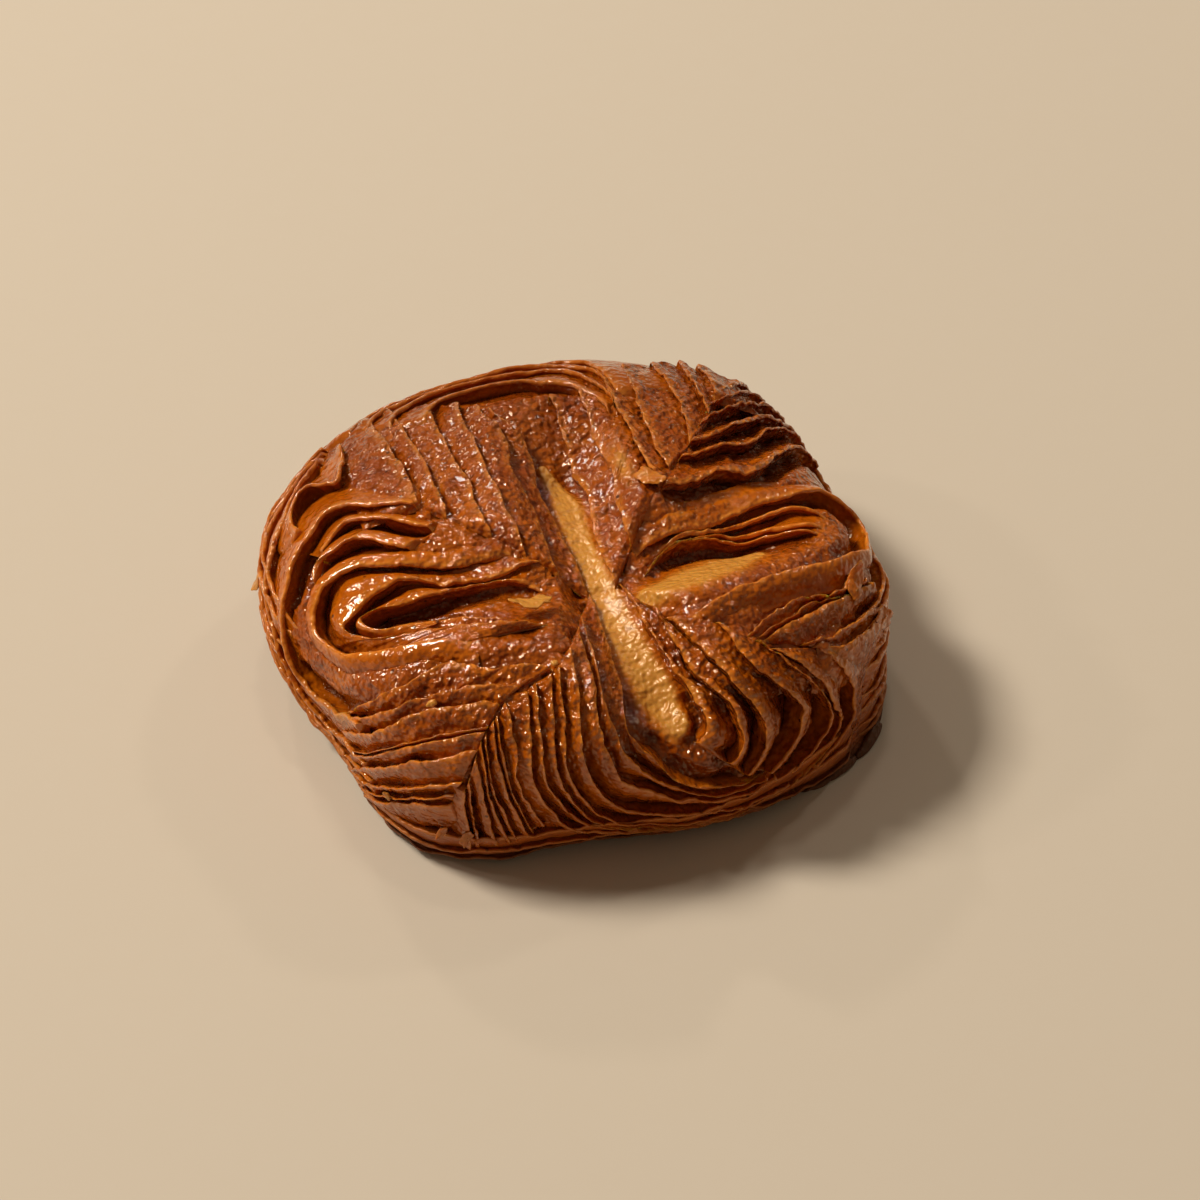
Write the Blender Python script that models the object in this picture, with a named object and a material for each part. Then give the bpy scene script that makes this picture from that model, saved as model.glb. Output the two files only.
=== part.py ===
"""Kouign amann: one caramelised square of laminated dough, its four corners folded in to the middle.

The four folded corners leave a cross-shaped valley between them. The cut edges of the dough leaves
follow that cross: they make nested chevrons on each corner and turn round the tip of each arm.
So the skin is a stack of closed rings. Each ring is a blend of three outlines, all drawn on the
skin as if it were pressed flat: the bare cross, a notched outline low on the top, and the base edge.

Metres, +Z up. The origin is under the middle of the whole, on the flat base, and the arms of the
cross lie near X and Y.
"""

import math

import bmesh
import bpy
import numpy as np

# Driving dimensions, in metres.
HEIGHT = 0.034  # top of the dome over the base
WAIST_HEIGHT = 0.0153  # where the side is widest
TOP_SQUARENESS = 2.6  # exponent of the rounded profile over the waist
FOOT_SQUARENESS = 2.2  # exponent of the profile under the waist
# Radii of the waist every 22.5 degrees, from the right side round by the back, left and front.
WAIST_RADII = (
    np.array([42.5, 43.5, 46, 42.5, 41, 42, 44.5, 45.5, 43, 41, 44.5, 41.5, 40.5, 42.5, 45, 46]) * 1e-3
)
# Radii of the base edge every 45 degrees, as shares of the waist's: the front corners stand out widest.
FOOT_SHARES = np.array([0.93, 0.88, 0.88, 0.88, 0.84, 0.93, 0.80, 0.99])

# The valley: points of the flattened skin.
CROSSING = np.array([0.0, -13.5]) * 1e-3
VALLEY_REACH = 0.011  # from the valley's middle line to the full height of the folds
VALLEY_RISE = (0.022, 0.040)  # distances from the crossing between which the valley runs out

# Leaves of dough. A ring's place runs from 0, the cross, over 1, the notched outline, to 2, the base.
TOP_FOLDS = (0.11, 0.25, 0.40, 0.56, 0.74, 0.94)
SIDE_FOLDS = (1.16, 1.38, 1.60, 1.80)
LIP_STEP = 0.0008  # how far a leaf's edge stands over the leaf beside it
SIDE_LIP_STEP = 0.0005
FOOT_GAP = 0.022  # between a lip and the crevice at its foot, in ring places
LIP_RISE = 0.15  # how much of the crevice's depth the lip beside it rises
LEAF_MIDDLE = (0.45, 0.35)  # where a leaf's middle row lies, and its share of the crevice's depth
VALLEY_ROW = 0.05  # a row just outside the cross
BASE_ROW = 1.93  # a row just over the base edge
CREVICE_SPREAD = 0.5  # how far round from an arm's tip its crevices stay open
CREVICE_END = (1.1, 1.7)  # ring places between which the crevices run out down the side

# Columns of faces round one quarter of the ring.
TIP_COLUMNS = 9
CHEVRON_COLUMNS = 7
PROFILE_POINTS = 160  # along each half of the section
TURN_PULL = 0.62  # how far the handles of an outline's turn reach towards its square corner

WANDER = 0.0009  # how far the leaves stray from their rule
CRUST_COLOUR = (0.42, 0.13, 0.02, 1.0)


class Arm:
    """One arm of the cross, as points of the flattened skin in millimetres."""

    def __init__(self, tip, end, valley_depth, crevice_depth):
        self.tip = np.array(tip) * 1e-3  # where the valley ends
        self.end = np.array(end) * 1e-3  # where the notched outline crosses the arm's line
        self.valley_depth = valley_depth
        self.crevice_depth = crevice_depth  # between the leaves that turn round the tip


class Corner:
    """The fold between two arms, as points of the flattened skin in millimetres."""

    def __init__(self, first_shoulder, notch, second_shoulder):
        self.first_shoulder = np.array(first_shoulder) * 1e-3
        self.notch = np.array(notch) * 1e-3
        self.second_shoulder = np.array(second_shoulder) * 1e-3


ARMS = (
    Arm(tip=(39, -6.5), end=(56, -5), valley_depth=0.0060, crevice_depth=0.0022),  # right
    Arm(tip=(2.5, 25), end=(3, 50), valley_depth=0.0070, crevice_depth=0.0010),  # back
    Arm(tip=(-37, -9), end=(-59, -6), valley_depth=0.0040, crevice_depth=0.0030),  # left
    Arm(tip=(5, -44), end=(4, -56), valley_depth=0.0075, crevice_depth=0.0026),  # front
)
CORNERS = (
    Corner((54, 22), (31, 24), (28, 47)),  # back right
    Corner((-24, 50), (-34, 18), (-56, 22)),  # back left
    Corner((-57, -29), (-29, -37), (-20, -55)),  # front left
    Corner((24, -54), (31, -37), (54, -27)),  # front right
)


def smooth(share):
    """A smooth step from 0 to 1 as the share goes from 0 to 1."""
    share = np.clip(share, 0.0, 1.0)
    return share * share * (3 - 2 * share)


def periodic(values, angle):
    """The smooth periodic curve through values that are evenly spaced round a full turn."""
    waves = np.fft.rfft(values) / len(values)
    result = np.full(np.shape(angle), waves[0].real)
    for order in range(1, len(waves)):
        share = 1.0 if 2 * order == len(values) else 2.0
        turned = order * angle
        result += share * (waves[order].real * np.cos(turned) - waves[order].imag * np.sin(turned))
    return result


def side_profile():
    """The section from the dome's top to the base edge, in four rows.

    They are the length along it, the radius as a share of the waist's, how much of the foot's
    narrowing there is, and the height.
    """
    turn = np.linspace(0.0, math.pi / 2, PROFILE_POINTS)
    over = np.sin(turn) ** (2 / TOP_SQUARENESS)
    over_height = WAIST_HEIGHT + (HEIGHT - WAIST_HEIGHT) * np.cos(turn) ** (2 / TOP_SQUARENESS)
    narrowing = 1 - np.cos(turn[1:]) ** (2 / FOOT_SQUARENESS)
    under_height = WAIST_HEIGHT * (1 - np.sin(turn[1:]) ** (2 / FOOT_SQUARENESS))
    shares = np.concatenate([over, np.ones(len(narrowing))])
    narrowing = np.concatenate([np.zeros(len(over)), narrowing])
    heights = np.concatenate([over_height, under_height])
    radii = WAIST_RADII.mean() * (shares - (1 - FOOT_SHARES.mean()) * narrowing)
    steps = np.hypot(np.diff(radii), np.diff(heights))
    return np.stack([np.concatenate([[0.0], np.cumsum(steps)]), shares, narrowing, heights])


PROFILE = side_profile()


def flat_radius(angle):
    """Distance from the middle to the base edge over the skin, at an angle."""
    return PROFILE[0, -1] * periodic(WAIST_RADII, angle) / WAIST_RADII.mean()


def on_body(flat):
    """Points of the plain body at points (..., 2) of the flattened skin."""
    angle = np.arctan2(flat[..., 1], flat[..., 0])
    share = np.hypot(flat[..., 0], flat[..., 1]) / flat_radius(angle)
    along = np.clip(share, 0.0, 1.0) * PROFILE[0, -1]
    full, narrowing, height = (np.interp(along, PROFILE[0], row) for row in PROFILE[1:])
    radius = (full - (1 - periodic(FOOT_SHARES, angle)) * narrowing) * periodic(WAIST_RADII, angle)
    return np.stack([radius * np.cos(angle), radius * np.sin(angle), height], axis=-1)


def body_normal(flat):
    """Outward unit normals of the plain body, from differences a tenth of a millimetre apart."""
    step = 1e-4
    across = on_body(flat + [step, 0.0]) - on_body(flat - [step, 0.0])
    along = on_body(flat + [0.0, step]) - on_body(flat - [0.0, step])
    normal = np.cross(across, along)
    return normal / np.linalg.norm(normal, axis=-1, keepdims=True)


def quarter_outlines(first, corner, second):
    """The cross and the notched outline from one arm's tip to the next, and the angles of the base edge."""
    across = np.linspace(0.0, 1.0, TIP_COLUMNS + 1)[:-1, None]
    down = np.linspace(0.0, 1.0, CHEVRON_COLUMNS + 1)[:-1, None]

    def half(arm, shoulder):
        """From the arm's end round to the corner's notch: a cubic curve, then a straight line."""
        axis = (arm.tip - CROSSING) / np.linalg.norm(arm.tip - CROSSING)
        square = arm.end + (shoulder - arm.end) - axis * np.dot(shoulder - arm.end, axis)
        pulls = arm.end + TURN_PULL * (square - arm.end), shoulder + TURN_PULL * (square - shoulder)
        turn = (
            (1 - across) ** 3 * arm.end
            + 3 * (1 - across) ** 2 * across * pulls[0]
            + 3 * (1 - across) * across**2 * pulls[1]
            + across**3 * shoulder
        )
        at_tip = np.repeat(arm.tip[None], TIP_COLUMNS, 0)
        bare = np.concatenate([at_tip, arm.tip + down * (CROSSING - arm.tip)])
        return bare, np.concatenate([turn, shoulder + down * (corner.notch - shoulder)])

    first_cross, first_notched = half(first, corner.first_shoulder)
    second_cross, second_notched = half(second, corner.second_shoulder)
    cross = np.concatenate([first_cross, CROSSING[None], second_cross[:0:-1]])
    notched = np.concatenate([first_notched, corner.notch[None], second_notched[:0:-1]])
    return cross, notched


def ring_outlines():
    """The cross, the notched outline and the base edge, as rows of points round the whole ring."""
    quarters = [quarter_outlines(ARMS[i], CORNERS[i], ARMS[(i + 1) % 4]) for i in range(4)]
    cross = np.concatenate([quarter[0] for quarter in quarters])
    notched = np.concatenate([quarter[1] for quarter in quarters])
    angle = np.arctan2(notched[:, 1], notched[:, 0])
    base = flat_radius(angle)[:, None] * np.stack([np.cos(angle), np.sin(angle)], axis=-1)
    return cross, notched, base


def tip_share():
    """Each column's nearness to an arm's tip, from 0 to 1, and the depth of that arm's crevices."""
    quarter = 2 * (TIP_COLUMNS + CHEVRON_COLUMNS)
    place = np.arange(4 * quarter) / quarter
    nearness = np.abs(place - np.floor(place) - 0.5) * 2
    depth = np.array([ARMS[int(round(at)) % 4].crevice_depth for at in place])
    return smooth((nearness - CREVICE_SPREAD) / (1 - CREVICE_SPREAD)), depth


def wander(flat):
    """A small smooth shift of points of the flattened skin, so that no leaf runs quite straight."""
    x, y = flat[..., 0] / 0.01, flat[..., 1] / 0.01
    shift_x = np.sin(1.7 * y + 0.6 * x + 0.4) + 0.5 * np.sin(3.9 * y - 2.3 * x + 1.9)
    shift_y = np.sin(1.9 * x - 0.7 * y + 2.2) + 0.5 * np.sin(4.3 * x + 2.1 * y + 0.3)
    return WANDER * np.stack([shift_x, shift_y], axis=-1)


def ring_rows():
    """(place, height over the body at the flaps, share of the crevice's depth) of each row of points."""
    folds = [(place, LIP_STEP) for place in TOP_FOLDS] + [(place, SIDE_LIP_STEP) for place in SIDE_FOLDS]
    middle, middle_depth = LEAF_MIDDLE
    rows = [(0.0, 0.0, 0.0), (VALLEY_ROW, 0.0, 0.0)]
    for number, (place, step) in enumerate(folds):
        following = folds[number + 1][0] if number + 1 < len(folds) else 2.0
        rows.append((place - FOOT_GAP, -step / 2, 1.0 if number else 0.0))
        rows.append((place, step / 2, -LIP_RISE))
        rows.append((place + middle * (following - place), 0.0, middle_depth))
    rows.append((BASE_ROW, 0.0, 0.0))
    rows.append((2.0, 0.0, 0.0))
    return np.array(rows)


def valley_drop(flat):
    """How far the skin sinks towards the middle line of the nearest arm, less and less towards its tip."""
    drop = np.zeros(flat.shape[:-1])
    for arm in ARMS:
        line = arm.tip - CROSSING
        share = np.clip(((flat - CROSSING) @ line) / (line @ line), 0.0, 1.0)
        away = np.linalg.norm(flat - CROSSING - share[..., None] * line, axis=-1)
        drop = np.maximum(drop, arm.valley_depth * (1 - smooth(away / VALLEY_REACH)))
    start, end = VALLEY_RISE
    return drop * (1 - smooth((np.linalg.norm(flat - CROSSING, axis=-1) - start) / (end - start)))


def skin_points():
    """The skin as a grid of points: one row for each ring, one column for each place round it.

    No lip reaches under the base, and the middle of the whole lies at the origin.
    """
    cross, notched, base = ring_outlines()
    tips, depths = tip_share()
    rows = ring_rows()
    place = rows[:, 0][:, None, None]
    inner = cross + np.clip(place, 0.0, 1.0) * (notched - cross)
    flat = inner + np.clip(place - 1.0, 0.0, 1.0) * (base - notched)
    free = np.clip(1 - np.abs(rows[:, 0] - 1.0), 0.0, 1.0)[:, None, None]
    flat = flat + wander(flat) * free
    start, end = CREVICE_END
    crevice_reach = np.clip((end - rows[:, 0]) / (end - start), 0.0, 1.0)
    height = rows[:, 1][:, None] - np.outer(rows[:, 2] * crevice_reach, tips * depths)
    height = height * (rows[:, 0] < 2.0)[:, None] - valley_drop(flat)
    points = on_body(flat) + body_normal(flat) * height[..., None]
    points[..., 2] = np.maximum(points[..., 2], 0.0)
    middle = (points.min(axis=(0, 1)) + points.max(axis=(0, 1))) / 2
    return points - [middle[0], middle[1], 0.0]


def crust_material():
    """Browned, sugar-glazed crust."""
    material = bpy.data.materials.new("crust")
    material.use_nodes = True
    shader = material.node_tree.nodes["Principled BSDF"]
    shader.inputs["Base Color"].default_value = CRUST_COLOUR
    shader.inputs["Roughness"].default_value = 0.35
    shader.inputs["Metallic"].default_value = 0.0
    material.diffuse_color = CRUST_COLOUR
    return material


def make_pastry(collection):
    """One closed solid: a grid wrapped into rings, zipped along the cross and closed flat underneath."""
    points = skin_points()
    rows, columns = points.shape[:2]
    shape = bmesh.new()
    bmesh.ops.create_grid(shape, x_segments=columns, y_segments=rows - 1, size=0.5)
    # The grid spans -0.5 to 0.5 both ways, so each vertex's own place says which row and column it is.
    for vertex in shape.verts:
        column = round((vertex.co.x + 0.5) * columns) % columns
        row = round((vertex.co.y + 0.5) * (rows - 1))
        vertex.co = points[row, column]
    bmesh.ops.remove_doubles(shape, verts=shape.verts, dist=1e-6)
    bmesh.ops.holes_fill(shape, edges=shape.edges, sides=0)
    bmesh.ops.recalc_face_normals(shape, faces=shape.faces)
    mesh = bpy.data.meshes.new("pastry")
    shape.to_mesh(mesh)
    shape.free()
    mesh.materials.append(crust_material())
    mesh.shade_smooth()
    pastry = bpy.data.objects.new("pastry", mesh)
    collection.objects.link(pastry)
    return pastry


def main():
    for thing in list(bpy.data.objects):
        bpy.data.objects.remove(thing)
    collection = bpy.data.collections.new("kouign_amann")
    bpy.context.scene.collection.children.link(collection)
    make_pastry(collection)


main()
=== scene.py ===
"""Kouign amann: a caramelised square of laminated dough, its four corners folded in to the middle.

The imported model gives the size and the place. Everything that shows is made here: the dense core
with the soft floor of the cross-shaped valley, the leaves of dough that stand round it, and the
loose, torn and burnt bits. Lengths inside the classes are in millimetres of the design and become
metres of the frame in one place, Form.to_frame.
"""

import logging
import math
from dataclasses import dataclass, field
from enum import Enum
from typing import Any

import bmesh
import bpy
import numpy as np
from mathutils import Matrix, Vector
from mathutils.kdtree import KDTree


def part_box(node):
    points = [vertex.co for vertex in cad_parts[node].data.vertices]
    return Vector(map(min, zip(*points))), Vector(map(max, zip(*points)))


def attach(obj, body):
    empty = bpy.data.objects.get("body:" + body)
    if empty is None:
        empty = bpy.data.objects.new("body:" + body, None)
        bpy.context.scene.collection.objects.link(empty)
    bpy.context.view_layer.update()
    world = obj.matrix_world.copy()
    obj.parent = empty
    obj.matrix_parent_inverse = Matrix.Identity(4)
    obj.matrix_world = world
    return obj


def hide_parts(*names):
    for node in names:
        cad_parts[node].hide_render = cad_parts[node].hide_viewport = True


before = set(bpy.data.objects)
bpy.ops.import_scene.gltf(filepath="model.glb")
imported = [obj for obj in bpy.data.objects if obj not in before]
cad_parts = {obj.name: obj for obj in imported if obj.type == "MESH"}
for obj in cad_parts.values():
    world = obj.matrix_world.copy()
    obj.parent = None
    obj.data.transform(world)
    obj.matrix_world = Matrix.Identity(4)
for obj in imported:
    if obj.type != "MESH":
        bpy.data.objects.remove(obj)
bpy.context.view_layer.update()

LOG = logging.getLogger("kouign_amann")
Array = np.ndarray
SEED = 7
NODE = "pastry"
BODY = "root"
SEEDS = 997  # how many different starts the folds' unevenness can have
KNOT_STEPS = 12  # points worked out on a curve for each of its knots


# ---------------------------------------------------------------- small maths


def smooth(share: Array) -> Array:
    """Return the smooth step 3s^2 - 2s^3 of a share held between 0 and 1."""
    share = np.clip(share, 0.0, 1.0)
    return share * share * (3 - 2 * share)


def periodic(values: Array, angle: Array) -> Array:
    """Return the smooth periodic curve through values that stand evenly round a full turn.

    Args:
        values: one value for each even step of the turn, from angle 0.
        angle: angles in radians, of any shape.

    Returns:
        The sum of the values' own cosine and sine waves at each angle.
    """
    waves = np.fft.rfft(values) / len(values)
    orders = np.arange(1, len(waves))
    shares = np.where(2 * orders == len(values), 1.0, 2.0)
    turned = angle[..., None] * orders
    swings = waves[1:].real * np.cos(turned) - waves[1:].imag * np.sin(turned)
    return waves[0].real + (shares * swings).sum(-1)


@dataclass(frozen=True)
class Lattice:
    """Smooth random unevenness: random heights on a cubic lattice, blended between its points."""

    seed: int
    size: int = 24
    shift: float = 7.3  # between the octaves, so that their lattices don't stand on each other

    def __call__(self, points: Array, pitch: float) -> Array:
        """Return the height, from -1 to 1, at each point.

        Args:
            points: (..., 3) positions.
            pitch: distance between lattice points, in the same unit.

        Returns:
            The eight nearest lattice heights, blended by the smooth step of the way between them.
        """
        heights = np.random.default_rng(self.seed).uniform(-1.0, 1.0, (self.size,) * 3)
        place = points / pitch
        low = np.floor(place).astype(int)
        way = smooth(place - low)
        total = np.zeros(points.shape[:-1])
        for corner in np.ndindex(2, 2, 2):
            index = (low + corner) % self.size
            weight = np.where(corner, way, 1 - way).prod(-1)
            total += weight * heights[index[..., 0], index[..., 1], index[..., 2]]
        return total

    def rough(self, points: Array, pitch: float, octaves: int) -> Array:
        """Return the sum of octaves of the unevenness, each twice as fine and half as high."""
        scales = [(octave, 2**octave) for octave in range(octaves)]
        return sum(self(points + self.shift * octave, pitch / scale) / scale for octave, scale in scales)


def through(knots: Array, count: int) -> Array:
    """Return evenly spaced points of the smooth curve through knots.

    Between two knots it is a cubic that takes each knot's slope from its neighbours, against the
    length of the straight lines between the knots.

    Args:
        knots: (m, 2) points.
        count: how many points to return.

    Returns:
        (count, 2) points, the same length of curve apart.
    """
    knots = np.asarray(knots, dtype=float)
    along = np.concatenate([[0.0], np.cumsum(np.linalg.norm(np.diff(knots, axis=0), axis=1))])
    slope = np.gradient(knots, along, axis=0)
    place = np.linspace(0.0, along[-1], KNOT_STEPS * len(knots))
    low = np.clip(np.searchsorted(along, place, "right") - 1, 0, len(knots) - 2)
    span = (along[low + 1] - along[low])[:, None]
    t = (place - along[low])[:, None] / span
    curve = (
        (2 * t**3 - 3 * t**2 + 1) * knots[low]
        + (t**3 - 2 * t**2 + t) * span * slope[low]
        + (3 * t**2 - 2 * t**3) * knots[low + 1]
        + (t**3 - t**2) * span * slope[low + 1]
    )
    length = np.concatenate([[0.0], np.cumsum(np.linalg.norm(np.diff(curve, axis=0), axis=1))])
    even = np.linspace(0.0, length[-1], count)
    return np.stack([np.interp(even, length, curve[:, axis]) for axis in (0, 1)], -1)


# ---------------------------------------------------------------- the plain form


@dataclass(frozen=True)
class Form:
    """The plain form: a boxy dome whose skin can be pressed flat.

    A point of the flattened skin is a direction and a distance from the middle. The distance runs
    along the section, from the dome's top over the waist and in under it to the base edge.
    """

    height: float = 34.0
    waist_height: float = 15.3
    top_squareness: float = 2.6
    foot_squareness: float = 2.2
    half_width: float = 44.36
    middle: tuple[float, float] = (-0.16, -0.03)
    # Evenly round the turn from +X: the waist's distance from the middle, and the foot's share of it.
    waist: tuple[float, ...] = (
        42.5, 43.5, 46, 42.5, 41, 42, 44.5, 45.5, 43, 41, 44.5, 41.5, 40.5, 42.5, 45, 46,
    )
    foot: tuple[float, ...] = (0.93, 0.88, 0.88, 0.88, 0.84, 0.93, 0.80, 0.99)
    section_steps: int = 160
    normal_step: float = 0.2

    def section(self) -> tuple[Array, Array, Array, Array]:
        """Work out the section, a quarter of a squarish oval over the waist and another under it.

        Returns:
            At each of its points: the length so far, the share of the waist's distance, the share of
            the foot's narrowing, and the height.
        """
        turn = np.linspace(0.0, math.pi / 2, self.section_steps)
        under = turn[1:]
        share = np.concatenate([np.sin(turn) ** (2 / self.top_squareness), np.ones(len(under))])
        narrowing = np.concatenate([np.zeros(len(turn)), 1 - np.cos(under) ** (2 / self.foot_squareness)])
        rise = self.height - self.waist_height
        dome = self.waist_height + rise * np.cos(turn) ** (2 / self.top_squareness)
        foot = self.waist_height * (1 - np.sin(under) ** (2 / self.foot_squareness))
        height = np.concatenate([dome, foot])
        radius = np.mean(self.waist) * (share - (1 - np.mean(self.foot)) * narrowing)
        steps = np.hypot(np.diff(radius), np.diff(height))
        return np.concatenate([[0.0], np.cumsum(steps)]), share, narrowing, height

    def reach(self, angle: Array) -> Array:
        """Return the distance over the skin from the middle to the base edge at each angle."""
        return self.section()[0][-1] * periodic(np.array(self.waist), angle) / np.mean(self.waist)

    def place(self, flat: Array) -> Array:
        """Lay the flattened skin back on the form.

        The distance from the middle, as a share of the reach at that angle, is the share of the
        section's length. The radius is (share - (1 - foot) * narrowing) * waist.

        Args:
            flat: (..., 2) points of the flattened skin.

        Returns:
            (..., 3) points of the plain form.
        """
        length, share, narrowing, height = self.section()
        angle = np.arctan2(flat[..., 1], flat[..., 0])
        waist = periodic(np.array(self.waist), angle)
        reach = length[-1] * waist / np.mean(self.waist)
        along = np.clip(np.hypot(flat[..., 0], flat[..., 1]) / reach, 0.0, 1.0) * length[-1]
        inward = (1 - periodic(np.array(self.foot), angle)) * np.interp(along, length, narrowing)
        radius = (np.interp(along, length, share) - inward) * waist
        level = np.interp(along, length, height)
        return np.stack([radius * np.cos(angle), radius * np.sin(angle), level], -1)

    def normal(self, flat: Array) -> Array:
        """Return outward unit normals, from the points one small step to each side over the skin."""
        step = self.normal_step
        across = self.place(flat + [step, 0.0]) - self.place(flat - [step, 0.0])
        along = self.place(flat + [0.0, step]) - self.place(flat - [0.0, step])
        normal = np.cross(across, along)
        return normal / np.maximum(np.linalg.norm(normal, axis=-1, keepdims=True), 1e-9)

    def to_frame(self, points: Array) -> Array:
        """Return points of the design, in millimetres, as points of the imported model, in metres."""
        low, high = (np.array(corner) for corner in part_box(NODE))
        unit = (high[0] - low[0]) / 2 / self.half_width
        foot = [(low[0] + high[0]) / 2, (low[1] + high[1]) / 2, low[2]]
        return (points - [*self.middle, 0.0]) * unit + foot


# ---------------------------------------------------------------- where the leaves run


Point = tuple[float, ...]
Line = tuple[Point, ...]


@dataclass(frozen=True)
class Valley:
    """The cross-shaped valley between the folded corners: four arms that meet at the crossing."""

    crossing: tuple[float, float] = (0.0, -13.5)
    tips: Line = ((39, -6.5), (2.5, 25), (-37, -9), (5, -44))
    depths: tuple[float, ...] = (6.0, 7.0, 4.0, 7.5)
    reach: float = 11.0  # from an arm's middle line to the full height of the folds
    full: float = 22.0  # from the crossing, as far as the arms are at their deepest
    fading: float = 18.0  # and the way on to where they end
    # The soft floors that show: points along the middle of each, and its half width at each point.
    strips: tuple[Line, ...] = (
        ((-0.5, 13), (1, 6.5), (0.8, -2), (1.1, -12), (1.8, -21), (3, -28), (4.2, -34), (5.8, -42)),
        ((7, -18), (12, -17), (18, -15), (25, -13)),
    )
    strip_widths: Line = ((0.8, 2.0, 2.0, 2.0, 2.3, 3.0, 3.4, 2.4), (2.2, 3.2, 3.2, 1.2))
    strip_steps: int = 60
    bare: float = 0.5  # share of its half width over which a strip is wholly bare
    browning: float = 1.4  # and the share over which it browns

    def drop(self, flat: Array) -> Array:
        """Return how far the skin sinks to the nearest arm's middle line, for points (..., 2)."""
        crossing = np.array(self.crossing)
        drop = np.zeros(flat.shape[:-1])
        for tip, depth in zip(self.tips, self.depths):
            line = np.array(tip) - crossing
            share = np.clip(((flat - crossing) @ line) / (line @ line), 0.0, 1.0)
            away = np.linalg.norm(flat - crossing - share[..., None] * line, axis=-1)
            drop = np.maximum(drop, depth * (1 - smooth(away / self.reach)))
        return drop * (1 - smooth((np.linalg.norm(flat - crossing, axis=-1) - self.full) / self.fading))

    def floor(self, flat: Array) -> Array:
        """Return how plainly the soft floor shows at points (..., 2), from 0 to 1."""
        away = np.full(flat.shape[:-1], np.inf)
        steps = self.strip_steps
        for strip, given in zip(self.strips, self.strip_widths):
            widths = np.interp(np.linspace(0, 1, steps), np.linspace(0, 1, len(given)), given)
            for point, width in zip(through(np.array(strip), steps), widths):
                away = np.minimum(away, np.linalg.norm(flat - point, axis=-1) / width)
        return 1 - smooth((away - self.bare) / self.browning)


class Surface(Enum):
    """How a fold's leaves have baked."""

    SUGARED = "sugared"  # lumpy with sugar on the flat tops
    GLAZED = "glazed"  # smooth, wet and rounded
    DRY = "dry"  # matte and torn, low on the side


@dataclass(frozen=True)
class Fold:
    """Leaves that lie one behind the other, like the pages of a fanned book.

    The guides are lines of the leaves' edges over the flattened skin, the innermost first. The
    leaves are spread from the first guide to the last, each with its wall to the valley and its
    top running on under the next leaf.
    """

    name: str
    guides: tuple[Line, ...]
    leaves: int
    crevice: tuple[float, ...] = (0.5, 0.8, 0.5)  # depth under the edges, evenly along them
    tail: float = 4.0  # how far the last leaf's top runs out
    tail_depth: float = 0.6  # and how deep it ends
    lift: float = 0.35
    level: float = 0.35  # share of its top that stays level; little makes it a standing fin
    raised: float = 0.0
    ragged: float = 0.5
    surface: Surface = Surface.SUGARED
    fade: tuple[float, float] = (0.8, 0.8)  # how far from its ends a leaf is all out of the dough
    uneven: float = 0.36  # most that a leaf stands off its even place, as a share of the gap
    spacing: float = 0.28  # between columns of points
    least_columns: int = 8

    def lines(self, form: Form) -> Array:
        """Return (leaves, columns, 2) points of the leaves' edges."""
        guides = [np.array(guide, dtype=float) for guide in self.guides]
        length = max(np.linalg.norm(np.diff(guide, axis=0), axis=1).sum() for guide in guides)
        columns = int(length / self.spacing) + self.least_columns
        curves = np.stack([through(guide, columns) for guide in guides])
        chance = np.random.default_rng(self.number())
        place = np.linspace(0.0, len(curves) - 1.0, self.leaves)
        if self.leaves > len(curves):
            stray = chance.uniform(-self.uneven, self.uneven, self.leaves - 2)
            place[1:-1] += stray * (place[1] - place[0])
        low = np.minimum(place.astype(int), max(len(curves) - 2, 0))
        way = (place - low)[:, None, None]
        return curves[low] * (1 - way) + curves[np.minimum(low + 1, len(curves) - 1)] * way

    def number(self) -> int:
        """Return a number of the fold's own, made from its name."""
        return sum(map(ord, self.name))

    def seed(self) -> int:
        """Return the fold's own start for its unevenness."""
        return self.number() % SEEDS


@dataclass(frozen=True)
class Skirt(Fold):
    """Leaves that run level round the side, at shares of the way from the middle to the base edge."""

    guides: tuple[Line, ...] = ()
    leaves: int = 6
    angles: tuple[float, float] = (-40.0, 185.0)
    shares: tuple[float, float] = (0.66, 0.95)
    uneven: float = 0.012  # here a share of the way
    columns_per_degree: float = 1.7
    # The waves in which the leaves rise and fall: height, number in a turn, and start.
    waves: tuple[Point, ...] = ((0.105, 2.0, 0.7), (0.06, 5.0, 1.9))

    def lines(self, form: Form) -> Array:
        """Return (leaves, columns, 2) points of the leaves' edges.

        The distance is reach * (share + (1 - share) * waves), so the lowest leaves are the most level.
        """
        start, end = self.angles
        turn = np.radians(np.linspace(start, end, int((end - start) * self.columns_per_degree)))
        chance = np.random.default_rng(self.seed())
        stray = chance.uniform(-self.uneven, self.uneven, self.leaves)
        share = np.linspace(*self.shares, self.leaves) + stray
        slant = sum(high * np.sin(turn * count + shift) for high, count, shift in self.waves)
        radius = form.reach(turn) * (share[:, None] + (1 - share[:, None]) * slant)
        return radius[..., None] * np.stack([np.cos(turn), np.sin(turn)], -1)


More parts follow.
